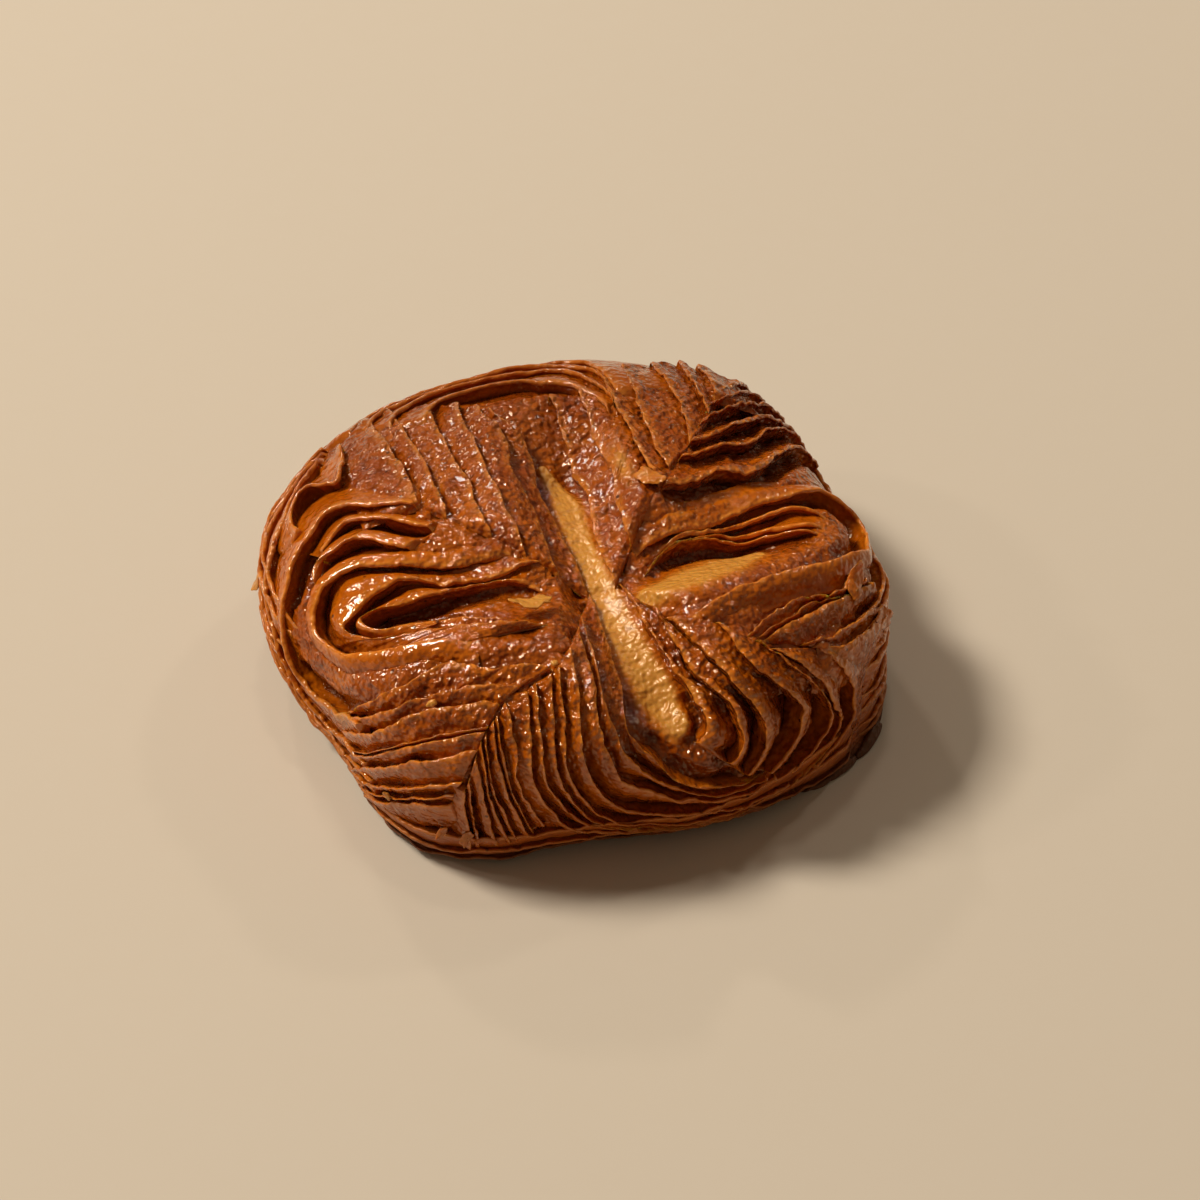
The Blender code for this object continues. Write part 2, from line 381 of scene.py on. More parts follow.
FOLDS: tuple[Fold, ...] = (
    Fold(
        "left_swirl",
        (
            ((-6.5, -13), (-13, -10.5), (-19.5, -9), (-25, -9), (-30.5, -9), (-34, -9.5), (-32, -12.5),
             (-27, -13), (-19, -16.5), (-12, -20)),
            ((-5, -8.5), (-12.5, -9), (-20, -8), (-26, -6.5), (-32, -7), (-37, -9.5), (-34, -13.5),
             (-28, -16), (-19, -18), (-8, -22)),
            ((-9.5, -7), (-18.5, -6), (-26, -3.5), (-33, -1.5), (-38, -2), (-41, -6), (-38.5, -12),
             (-31, -17), (-25.5, -19), (-19, -21)),
        ),
        3, (0.4, 1.2, 2.6, 1.4, 0.3), tail=4.0, tail_depth=2.2, lift=0.4, surface=Surface.GLAZED,
        fade=(4.0, 5.0),
    ),
    Fold(
        "left_cave",
        (
            ((-23.8, -2), (-27, 0), (-30, 2.5), (-34, 3), (-38, 2), (-39, -1)),
            ((-20.5, -0.5), (-24, 2.5), (-28, 6), (-31.5, 7), (-34, 5.5), (-36.5, 3.5)),
        ),
        2, (1.5, 3.2, 2.0, 1.0), tail=2.5, tail_depth=1.2, surface=Surface.GLAZED,
    ),
    Fold(
        "left_roll",
        (((-21, 5), (-27.5, 8), (-32.5, 10), (-38, 7), (-43.5, 3), (-48.5, -1), (-51, -6), (-48, -14.5),
          (-40, -24.5)),),
        1, (1.0, 2.2, 2.6, 2.0, 0.8), tail=5.0, lift=0.6, surface=Surface.GLAZED,
    ),
    Fold(
        "left_side",
        (
            ((-32, 26), (-36.5, 21), (-41, 15), (-46, 10), (-51, 4), (-55, -4), (-54, -13), (-49, -23),
             (-46, -29)),
            ((-30, 34), (-40, 28), (-48, 22), (-55, 14), (-61, 6), (-64, -4), (-61, -16), (-56, -27),
             (-50, -36)),
        ),
        4, (0.8, 1.2, 0.5, 0.7), tail=4.0, lift=0.4, ragged=0.9, surface=Surface.GLAZED,
    ),
    Fold(
        "curl",
        (((-28, 25), (-28.8, 19), (-30.5, 15.3), (-33, 16.3), (-35.5, 17.5), (-37.5, 16), (-38.5, 12.5),
          (-37.5, 9.5)),),
        1, (0.8, 3.0, 4.0, 3.0, 1.0), tail=4.0, lift=1.0, surface=Surface.GLAZED,
    ),
    Fold(
        "back_left_ridges",
        (
            ((-1.0, -13.5), (-1.2, -5), (-1.5, 2), (-2.5, 8), (-1.5, 13), (-2.5, 17.5), (-5, 21),
             (-6, 24)),
            ((-9.5, -7), (-9.5, -3), (-10.2, 1), (-10.5, 6), (-11, 11), (-11, 17), (-10.8, 22),
             (-10, 27.5)),
            ((-21, 5), (-21, 9), (-21, 13), (-21.5, 17), (-22, 22), (-22.5, 27), (-22.5, 31), (-23, 35)),
        ),
        6, (0.9, 0.9, 0.8, 0.7), tail=8.0, lift=0.5,
    ),
    Fold(
        "back_right_ridges",
        (
            ((3.3, -14), (3.0, -4), (3.8, 4), (3, 12), (3.2, 15.5), (3, 20.5), (3.2, 24.5)),
            ((7, -8.5), (7, -4), (7, 0.5), (7.3, 6), (7.5, 11), (7.5, 18), (7, 23.5)),
            ((13, -1), (12.5, 3), (12.2, 6.5), (12, 11), (12, 15.5), (12, 23), (12.2, 31)),
        ),
        3, (1.0, 0.9, 0.7, 0.5), tail=3.0, lift=0.45,
    ),
    Fold(
        "back_right_flap",
        (
            ((15, 2), (14.8, 9), (15, 17), (15.7, 24), (16.5, 31)),
            ((21.5, 8), (22.2, 12), (22.5, 17), (22.8, 24), (23, 33)),
            ((27.5, 18), (28, 22), (28.5, 25), (29, 29), (30, 33)),
        ),
        4, (0.7, 0.6, 0.6), tail=7.0, lift=0.4,
    ),
    Fold(
        "back_rims",
        (
            ((-15.5, 22), (-14, 26), (-11, 28.5), (-4, 29), (2, 27.8), (6, 26), (9, 21), (11, 16)),
            ((-27, 28), (-23, 34.5), (-14, 37), (-4, 38), (4, 38), (9, 37), (12.5, 30), (13, 20)),
        ),
        4, (0.3, 0.7, 0.7, 0.3), tail=9.0, lift=0.4, raised=0.2, ragged=0.5, surface=Surface.GLAZED,
        fade=(2.0, 2.0),
    ),
    Fold(
        "back_right_fan",
        (
            ((13, -1), (17.5, -1.5), (22, 0), (27.5, 0.5), (33, 5), (38, 8.5), (46, 11)),
            ((22, 10.5), (25, 12.5), (28, 14.5), (31, 16.5), (35, 18.5), (40, 20), (48, 22)),
            ((27.5, 18.5), (30, 21), (33, 24), (35, 26), (38, 28.5), (42, 31), (48, 34)),
        ),
        6, (0.8, 2.0, 2.4, 1.8, 0.8), tail=5.0, lift=0.4, level=0.12, ragged=0.6,
    ),
    Fold(
        "right_slits",
        (
            ((6.5, -13.5), (12, -9), (17, -8.2), (23, -9), (30, -10.5), (36, -11.5)),
            ((9, -9.5), (15.5, -7.8), (22, -7), (27, -6.5), (32.5, -6), (38, -8.5)),
        ),
        3, (0.6, 2.0, 1.8, 1.0), tail=2.0, tail_depth=1.8, level=0.15, surface=Surface.GLAZED,
        fade=(6.0, 4.0),
    ),
    Fold(
        "right_roll",
        (((7, -8.5), (16, -7), (24, -5), (31.5, -3.8), (39.5, -3.2), (45.2, -6), (43.2, -11.5), (36, -17),
          (27, -20), (18.5, -22.3), (10.3, -24.8)),),
        1, (0.5, 1.6, 2.8, 2.0, 0.7, 0.6, 0.5), tail=3.6, tail_depth=1.4, lift=0.4, surface=Surface.GLAZED,
        fade=(3.0, 3.0),
    ),
    Fold(
        "right_torn",
        (
            ((17, -29), (25, -25), (34, -23), (37, -19.5)),
            ((20.5, -31), (28, -27.5), (35.5, -24), (43, -20)),
            ((27.5, -31.5), (34, -30.5), (40, -27), (45, -24.5)),
        ),
        5, (0.4, 0.8, 1.6, 2.2), tail=6.0, lift=0.5, ragged=1.0, fade=(2.0, 0.8),
    ),
    Fold(
        "front_right_fins",
        (
            ((3.4, -12.5), (5, -23.5), (6.5, -30), (8, -34), (9, -38), (10, -42.5), (8, -45)),
            ((6, -21), (8, -26), (9.5, -30.5), (12, -37), (16, -41), (18, -45), (16.5, -50)),
            ((10.3, -24.8), (11.5, -28.5), (13, -32), (17, -37.2), (21, -40.5), (22.5, -45.8),
             (20.5, -52.8)),
            ((17, -29), (18.5, -31), (20, -33), (26, -37), (31, -40.5), (31, -45), (26.5, -49)),
            ((20, -31.2), (22.5, -33), (25, -34.5), (33, -39.8), (39, -43.5), (37.5, -48.2), (32, -54)),
            ((27.5, -31.5), (30, -33), (32.5, -34.5), (39, -37.8), (42.5, -40.2), (40.5, -45.5),
             (36, -50)),
        ),
        7, (0.4, 0.7, 1.6, 2.7, 3.0, 2.0), tail=5.0, lift=0.5, level=0.18, ragged=0.7,
    ),
    Fold(
        "front_left_ridges",
        (
            ((-1.0, -12.5), (-1, -25), (-1.5, -32), (-2.5, -40), (1, -46), (9, -51), (18, -52)),
            ((-6, -24), (-6.5, -34), (-7.5, -42), (-5.5, -49), (3, -53), (15.5, -55.5), (29, -52)),
            ((-10.5, -28.8), (-12, -36), (-13.8, -45), (-11, -52), (1, -58), (19, -60), (38, -56)),
            ((-15, -30.5), (-16.2, -37.5), (-17.6, -45), (-15, -52.5), (-5, -58), (6, -60), (18, -60)),
        ),
        8, (0.6, 1.1, 1.6, 1.6, 1.0), tail=3.0, lift=0.5, level=0.3,
    ),
    Fold(
        "front_pages",
        (
            ((-18.3, -31.5), (-18.5, -37.5), (-20, -45), (-19, -52)),
            ((-21.2, -34.2), (-22.8, -39.2), (-24, -45.2), (-25, -54)),
            ((-24, -36.8), (-26, -41.5), (-28.2, -47), (-30.5, -54)),
            ((-29, -41.2), (-31.5, -44.8), (-34, -49), (-37, -53)),
        ),
        8, (0.6, 1.1, 1.2, 0.8), tail=3.0, lift=0.35, ragged=0.8, fade=(0.3, 0.8),
    ),
    Fold(
        "left_pages",
        (
            ((-10.5, -28.5), (-17.5, -26.5), (-25.5, -23.5), (-29.5, -24), (-36.5, -22.5), (-43.5, -20)),
            ((-18.5, -31.2), (-25.8, -29.2), (-31.5, -28.2), (-36, -28), (-41, -25), (-48, -19)),
            ((-21.2, -34), (-26.2, -33), (-31.5, -32), (-37, -30.5), (-43, -28), (-50, -23)),
            ((-23.8, -36.5), (-28.2, -36), (-34.2, -34.5), (-39, -33), (-45, -30), (-54, -24)),
            ((-29, -41), (-35, -39.8), (-41.5, -37.2), (-46.5, -34), (-50, -31.5), (-56, -27)),
            ((-32.8, -43), (-37.8, -41.2), (-44.2, -38.8), (-50, -35), (-53, -32), (-58, -28)),
        ),
        9, (0.5, 0.9, 1.0, 0.8), tail=5.0, lift=0.4, ragged=0.8, fade=(0.3, 0.8),
    ),
    Skirt(
        "far_side", leaves=8, surface=Surface.GLAZED, crevice=(0.4, 1.0, 0.3, 0.9, 0.2, 1.1, 0.4), tail=3.0,
        fade=(8.0, 8.0), lift=0.45, ragged=0.9,
    ),
    Skirt(
        "front_base", leaves=3, angles=(185.0, 320.0), shares=(0.86, 0.95), surface=Surface.DRY,
        crevice=(0.3, 0.5, 0.4), tail=2.0, fade=(6.0, 6.0), ragged=0.9,
    ),
)


# ---------------------------------------------------------------- meshes


def make_mesh(name: str, points: Array, faces: Array, values: dict[str, Array], finish: "Finish") -> Any:
    """Make a piece from whole arrays.

    Args:
        name: the piece's name.
        points: (n, 3) places in the frame, in metres.
        faces: (m, 4) corners of its quads.
        values: one number for each point, by attribute name.
        finish: what it is dressed in.

    Returns:
        The new object, linked to the scene and turned outwards, on the body and with its slot.
    """
    mesh = bpy.data.meshes.new(name)
    mesh.vertices.add(len(points))
    mesh.vertices.foreach_set("co", points.astype(np.float32).ravel())
    mesh.loops.add(faces.size)
    mesh.loops.foreach_set("vertex_index", faces.astype(np.int32).ravel())
    mesh.polygons.add(len(faces))
    mesh.polygons.foreach_set("loop_start", np.arange(0, faces.size, faces.shape[1], dtype=np.int32))
    mesh.polygons.foreach_set("use_smooth", np.ones(len(faces), dtype=bool))
    mesh.update(calc_edges=True)
    for key, number in values.items():
        attribute = mesh.attributes.new(key, "FLOAT", "POINT")
        attribute.data.foreach_set("value", number.astype(np.float32).ravel())
    mesh.materials.append(finish.material())
    face_out(mesh)
    piece = bpy.data.objects.new(name, mesh)
    bpy.context.scene.collection.objects.link(piece)
    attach(piece, BODY)
    return piece


def face_out(mesh: Any) -> None:
    """Turn every face of a closed mesh outwards."""
    shape = bmesh.new()
    shape.from_mesh(mesh)
    bmesh.ops.recalc_face_normals(shape, faces=shape.faces)
    shape.to_mesh(mesh)
    shape.free()


def grid_faces(row: Array, column: Array, rows: int, columns: int) -> Array:
    """Return the quads of a grid whose points are numbered row by row.

    Args:
        row: the rows that the quads start from.
        column: the columns that they start from.
        rows: how many rows the grid has, past which it goes on with the first.
        columns: how many columns, past which it goes on with the first.

    Returns:
        (quads, 4) point numbers.
    """
    row, column = row[:, None], column[None, :]
    next_row, next_column = (row + 1) % rows, (column + 1) % columns
    corners = (
        row * columns + column,
        next_row * columns + column,
        next_row * columns + next_column,
        row * columns + next_column,
    )
    return np.stack(np.broadcast_arrays(*corners), -1).reshape(-1, 4)


def cap_faces(loop: Array) -> Array:
    """Return quads that close an even loop of point numbers by joining its two halves."""
    half = len(loop) // 2
    first, second = loop[:half], loop[half:][::-1]
    return np.stack([first[:-1], first[1:], second[1:], second[:-1]], -1)


def ring_faces(rows: int, columns: int) -> Array:
    """Return the quads of rings one after the other, with the first and the last ring capped."""
    sides = grid_faces(np.arange(rows - 1), np.arange(columns), rows, columns)
    first = np.arange(columns)
    return np.concatenate([sides, cap_faces(first), cap_faces((rows - 1) * columns + first)[:, ::-1]])


def sheet_faces(rows: int, columns: int) -> Array:
    """Return the quads of a closed profile carried along columns, with both its ends capped."""
    sides = grid_faces(np.arange(rows), np.arange(columns - 1), rows, columns)
    first = np.arange(rows) * columns
    return np.concatenate([sides, cap_faces(first)[:, ::-1], cap_faces(first + columns - 1)])


# ---------------------------------------------------------------- shader maths


class Signal:
    """A shader number: a socket whose Python operators add Math nodes."""

    def __init__(self, graph: "Graph", socket: Any) -> None:
        """Wrap a socket of a graph."""
        self.graph = graph
        self.socket = socket

    def _math(self, operation: str, *operands: Any) -> "Signal":
        """Return the result of a Math node on the operands."""
        return self.graph.node("ShaderNodeMath", {"operation": operation}, dict(enumerate(operands)))

    def __add__(self, other: Any) -> "Signal":
        """Return self + other."""
        return self._math("ADD", self, other)

    def __radd__(self, other: Any) -> "Signal":
        """Return other + self."""
        return self._math("ADD", other, self)

    def __sub__(self, other: Any) -> "Signal":
        """Return self - other."""
        return self._math("SUBTRACT", self, other)

    def __rsub__(self, other: Any) -> "Signal":
        """Return other - self."""
        return self._math("SUBTRACT", other, self)

    def __mul__(self, other: Any) -> "Signal":
        """Return self * other."""
        return self._math("MULTIPLY", self, other)

    def __rmul__(self, other: Any) -> "Signal":
        """Return other * self."""
        return self._math("MULTIPLY", other, self)

    def step(self, low: float, high: float) -> "Signal":
        """Return the smooth step of the value from low to high."""
        inputs = {"Value": self, "From Min": low, "From Max": high}
        return self.graph.node("ShaderNodeMapRange", {"interpolation_type": "SMOOTHSTEP"}, inputs)


class Graph:
    """A material's node tree."""

    def __init__(self, name: str) -> None:
        """Start an empty material of that name."""
        self.material = bpy.data.materials.new(name)
        self.material.use_nodes = True
        self.tree = self.material.node_tree
        self.tree.nodes.clear()

    def node(self, kind: str, settings: dict[str, Any], inputs: dict[Any, Any], output: Any = 0) -> Signal:
        """Add a node.

        Args:
            kind: its type.
            settings: its properties, set before its sockets.
            inputs: values or Signals by socket name or number.
            output: which output to return.

        Returns:
            That output.
        """
        node = self.tree.nodes.new(kind)
        for key, value in settings.items():
            setattr(node, key, value)
        for key, value in inputs.items():
            if isinstance(value, Signal):
                self.tree.links.new(value.socket, node.inputs[key])
            else:
                node.inputs[key].default_value = value
        return Signal(self, node.outputs[output] if node.outputs else None)

    def attribute(self, name: str) -> Signal:
        """Return a number that the mesh carries at its points."""
        return self.node("ShaderNodeAttribute", {"attribute_name": name}, {}, "Fac")

    def place(self) -> Signal:
        """Return the place on the object, in metres."""
        return self.node("ShaderNodeTexCoord", {}, {}, "Object")

    def axis(self, number: int) -> Signal:
        """Return one coordinate of the place: 0, 1 or 2 for X, Y or Z."""
        return self.node("ShaderNodeSeparateXYZ", {}, {0: self.place()}, number)

    def noise(self, pitch: float, detail: float, shift: float = 0.0) -> Signal:
        """Return cloudy noise.

        Args:
            pitch: about how wide its patches are, in metres.
            detail: how many times it is made finer.
            shift: how far it is moved along each axis, in metres.

        Returns:
            Its value, from 0 to 1.
        """
        moved = self.node("ShaderNodeVectorMath", {"operation": "ADD"}, {0: self.place(), 1: (shift,) * 3})
        return self.node("ShaderNodeTexNoise", {}, {"Vector": moved, "Scale": 1 / pitch, "Detail": detail})

    def cells(self, pitch: float) -> Signal:
        """Return the distance to the nearest of many scattered points, over their pitch in metres."""
        return self.node("ShaderNodeTexVoronoi", {}, {"Vector": self.place(), "Scale": 1 / pitch})

    def blend(self, share: Any, first: Any, second: Any) -> Signal:
        """Return two colours mixed: the first where the share is 0, the second where it is 1."""
        return self.node("ShaderNodeMix", {"data_type": "RGBA"}, {0: share, 6: first, 7: second}, 2)

    def finish(self, sockets: dict[str, Any], settings: dict[str, Any] | None = None) -> Any:
        """Dress the material in a Principled shader with these sockets, and return it."""
        shader = self.node("ShaderNodeBsdfPrincipled", settings or {}, sockets)
        self.node("ShaderNodeOutputMaterial", {}, {"Surface": shader})
        return self.material


Colour = tuple[float, float, float, float]


def shade(red: int, green: int, blue: int) -> Colour:
    """Return a screen colour, each channel from 0 to 255, as the linear colour that shaders take."""
    parts = [channel / 255 for channel in (red, green, blue)]
    linear = [part / 12.92 if part < 0.04045 else ((part + 0.055) / 1.055) ** 2.4 for part in parts]
    return (*linear, 1.0)


class Finish:
    """Something that a piece can be dressed in."""

    def material(self) -> Any:
        """Return the finish's material."""
        raise NotImplementedError


@dataclass(frozen=True)
class Caramel(Finish):
    """Browned dough under a thin glaze of burnt sugar.

    The mesh says where it is deep between leaves (crevice), which is painted with shade, on a thin edge
    (lip), which is painted with a highlight, on a sugared flat top (crust), in the soft pale floor of the
    valley (pale) and low on the side (foot). The colour also has painted shade at the back and low on the
    side.
    """

    name: str = "caramelised_dough"
    wall: Colour = shade(206, 106, 8)
    top: Colour = shade(158, 68, 4)
    # Dark brown of the specks, also used as painted shade at the back and low on the side.
    dark: Colour = shade(104, 36, 2)
    # Painted shade: the colour deep in the crevices between leaves.
    deep: Colour = shade(98, 34, 4)
    pale: Colour = shade(212, 144, 58)
    rim: Colour = shade(200, 120, 34)
    # Painted highlight: the lighter, glowing orange of the thin lips.
    edge: Colour = shade(236, 142, 44)
    burnt: Colour = shade(78, 37, 14)
    glint: Colour = (1.0, 0.80, 0.56, 1.0)
    # Widths in metres of the brown patches, of the specks in them and of the gaps between pits.
    patch_width: float = 0.006
    speck_width: float = 0.0012
    pit_pitch: float = 0.0042
    # The sugar's lumps, drops and grains: width, detail, shift and height, in metres.
    sugar: tuple[Point, ...] = (
        (0.0011, 0.0, 0.3, 0.0008), (0.00065, 0.0, 0.6, 0.0005), (0.0007, 2.0, 0.7, 0.00006),
    )
    far: tuple[float, float] = (-0.005, 0.035)  # Y from which it is painted darker as shade at the back, and where it is darkest
    high: tuple[float, float] = (0.004, 0.024)  # the heights between which the painted shade low on the side gives way

    def material(self) -> Any:
        """Return the material, made once."""
        made = bpy.data.materials.get(self.name)
        if made:
            return made
        graph = Graph(self.name)
        marks = {key: graph.attribute(key) for key in ("crevice", "lip", "crust", "pale", "foot")}
        blotch = graph.noise(self.patch_width, 3.0)
        high = graph.axis(2).step(*self.high)
        lip, pale = marks["lip"], marks["pale"]
        wet = 0.09 + 0.45 * marks["foot"].step(0.1, 0.7) + 0.22 * pale.step(0.3, 1.0)
        sockets = {
            "Base Color": self._colour(graph, marks, blotch, high),
            "Roughness": wet + 0.10 * (blotch - 0.5),
            "IOR": 1.45,
            "Specular IOR Level": 0.72,
            "Specular Tint": self.glint,
            "Coat Weight": 0.03 + (0.20 + 0.35 * lip) * high * (1 - 0.8 * pale),
            "Coat Roughness": 0.05,
            "Subsurface Weight": 0.2,
            "Subsurface Radius": (1.0, 0.45, 0.1),
            "Subsurface Scale": 0.0012,
            "Normal": self._relief(graph, marks),
        }
        return graph.finish(sockets, {"subsurface_method": "RANDOM_WALK"})

    def _colour(self, graph: Graph, marks: dict[str, Signal], blotch: Signal, high: Signal) -> Signal:
        """Lay the colours over each other: dough, sugar, painted highlights on the edges, pits, soft floor,
        painted shade in the depths, at the back and low on the side, and burns.

        Args:
            graph: the material's nodes.
            marks: what the mesh carries at its points.
            blotch: the noise of the brown patches.
            high: 1 on the top and 0 at the foot.

        Returns:
            The colour.
        """
        crevice, lip, crust, pale, foot = marks.values()
        speck = graph.noise(self.speck_width, 3.0, 0.3)
        browned = (0.5 + 0.5 * crust) * (0.1 + 1.6 * blotch).step(0.3, 1.2)
        colour = graph.blend(browned, self.wall, self.top)
        mottled = (speck * 1.3 - 0.25).step(0.25, 0.75) * (0.25 + 0.5 * crust)
        colour = graph.blend(mottled, colour, self.dark)
        # Painted highlight: lighter, glowing orange on the thin lips, in specks.
        colour = graph.blend(0.8 * lip * (speck * 1.8 - 0.35).step(0.0, 1.0), colour, self.edge)
        pits = 1 - graph.cells(self.pit_pitch).step(0.05, 0.09)
        colour = graph.blend(pits * 0.85, colour, self.burnt)
        floor = graph.blend((pale * (0.6 + 0.8 * speck)).step(0.5, 1.1), self.rim, self.pale)
        soft = (pale + 0.7 * (speck - 0.5) + 0.7 * (blotch - 0.5)) * pale.step(0.02, 0.3)
        colour = graph.blend(soft.step(0.1, 1.0), colour, floor)
        # Painted shade: darker deep in the crevices between the leaves.
        colour = graph.blend(crevice.step(0.3, 1.0) * 0.75, colour, self.deep)
        # Painted shade: darker towards the back, except on the soft floor.
        colour = graph.blend(graph.axis(1).step(*self.far) * (1 - pale) * 0.42, colour, self.dark)
        # Painted shade: darker low on the side, in specks.
        colour = graph.blend((1 - high) * (0.25 + 0.9 * speck) * 0.5, colour, self.dark)
        return graph.blend((foot + 0.5 * (blotch - 0.5)).step(0.45, 1.2), colour, self.burnt)

    def _relief(self, graph: Graph, marks: dict[str, Signal]) -> Signal:
        """Return the normal of the sugar, whose height is the sum of (noise - 0.5) * its own height."""
        much = (0.28 + 0.72 * marks["crust"]) * (1 - 0.25 * marks["pale"])
        parts = [(graph.noise(*noise) - 0.5) * tall for *noise, tall in self.sugar]
        inputs = {"Strength": 0.9, "Distance": 1.0, "Height": much * sum(parts)}
        return graph.node("ShaderNodeBump", {}, inputs)


# ---------------------------------------------------------------- the pieces


@dataclass
class Core:
    """The dense middle: closed, under every leaf, and bare along the floor of the valley."""

    form: Form
    valley: Valley
    finish: Finish
    edges: Array  # (n, 2) points of the leaves' edges
    depths: Array  # and how deep the crevice is there
    rows: int = 190
    columns: int = 420
    first_ring: float = 0.004  # share of the way out
    last_level: float = 0.93  # share of the way from which it runs out to the plain base edge
    sunk: float = 0.8  # how far it lies under the leaves' tops
    lump_pitch: float = 2.4
    lump_height: float = 0.22
    groove_width: float = 3.0
    # On the bare floor, how much of the groove, the lumps and the sinking is taken away.
    calm: tuple[float, float, float] = (0.9, 0.65, 0.6)

    def build(self) -> Any:
        """Build the core on rings round the middle: point = form(flat) + normal * height.

        Returns:
            The piece.
        """
        less_groove, less_lumps, less_sunk = self.calm
        turn = np.linspace(0.0, 2 * math.pi, self.columns, endpoint=False)
        share = np.linspace(self.first_ring, 1.0, self.rows)[:, None]
        radius = share * self.form.reach(turn)
        flat = radius[..., None] * np.stack([np.cos(turn), np.sin(turn)], -1)
        floor = self.valley.floor(flat)
        groove = self._groove(flat) * (1 - less_groove * floor)
        points = self.form.place(flat)
        grain = Lattice(SEED + 4).rough(points, self.lump_pitch, 3)
        fade = 1 - smooth((share - self.last_level) / (1 - self.last_level))
        lumps = self.lump_height * grain * (1 - less_lumps * floor)
        height = -self.valley.drop(flat) - (self.sunk * (1 - less_sunk * floor) + groove - lumps) * fade
        points = points + self.form.normal(flat) * height[..., None]
        points[..., 2] = np.maximum(points[..., 2], 0.0)
        points[-1, :, 2] = 0.0
        underside = points[-1:] * [0.5, 0.5, 1.0]
        grid = np.concatenate([points, underside])
        extra = np.zeros((1, self.columns))
        # Pale only where no groove cuts the floor, painted shade in the grooves, and burnt near the base.
        values = {
            "pale": np.concatenate([floor * (1 - smooth(groove / 1.5)), extra]),
            "crust": np.concatenate([0.5 + 0.3 * (1 - floor), extra]),
            "lip": np.zeros(grid.shape[:2]),
            "crevice": np.concatenate([np.clip(0.35 + groove / 2.0, 0, 1) * (1 - floor), extra + 1.0]),
            "foot": np.concatenate([np.clip(1.15 - points[..., 2] / 6.0, 0, 1), extra + 1.0]),
        }
        faces = ring_faces(self.rows + 1, self.columns)
        return make_mesh("core", self.form.to_frame(grid.reshape(-1, 3)), faces, values, self.finish)

    def _groove(self, flat: Array) -> Array:
        """Return how much deeper the core lies near the leaves' edges, after the nearest crevice."""
        tree = KDTree(len(self.edges))
        for number, edge in enumerate(self.edges):
            tree.insert((edge[0], edge[1], 0.0), number)
        tree.balance()
        found = [tree.find((x, y, 0.0)) for x, y in flat.reshape(-1, 2).tolist()]
        depth = self.depths[[hit[1] for hit in found]]
        away = np.array([hit[2] for hit in found])
        return (depth * (1 - smooth((away - 0.5) / self.groove_width))).reshape(flat.shape[:-1])


